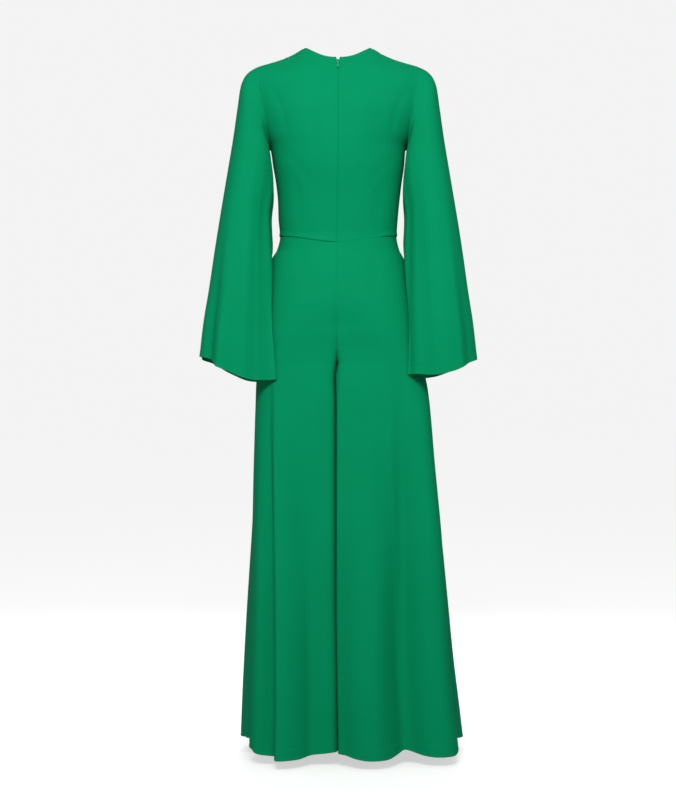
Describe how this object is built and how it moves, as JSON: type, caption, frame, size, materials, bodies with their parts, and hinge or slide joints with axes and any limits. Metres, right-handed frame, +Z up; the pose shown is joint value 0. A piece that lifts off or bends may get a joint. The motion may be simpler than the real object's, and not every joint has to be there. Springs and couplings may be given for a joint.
{
  "type": "jumpsuit",
  "caption": "Full-length wide-leg jumpsuit with long flared bell sleeves, a round neck and a concealed centre-back zip, hollow and open, holding its worn form.",
  "frame": {"origin": "midway between the two points where the shoulder seams meet the neckline, where the garment hangs on its wearer", "axes": "+Z up, -Y the garment's front, +Y its back, +X the wearer's left"},
  "size_m": [0.606, 0.3275, 1.5512],
  "materials": {
    "crepe": "matt emerald crepe with a soft sheen",
    "zip_tape": "woven tape dyed to match",
    "zip_metal": "glossy enamel dyed to match"
  },
  "bodies": {
    "garment": {"bodice_front": "crepe", "bodice_back_left": "crepe", "bodice_back_right": "crepe", "sleeve_left": "crepe", "sleeve_right": "crepe", "trouser_front_left": "crepe", "trouser_front_right": "crepe", "trouser_back_left": "crepe", "trouser_back_right": "crepe", "zip_tape": "zip_tape", "zip_slider": "zip_metal"},
    "pull": {"zip_pull": "zip_metal"}
  },
  "joints": [
    {"name": "pull_swing", "type": "hinge", "parent": "garment", "child": "pull", "pos_m": [0, 0.07765, -0.04446], "axis": [1, 0, 0], "range_deg": [0, 150]}
  ]
}
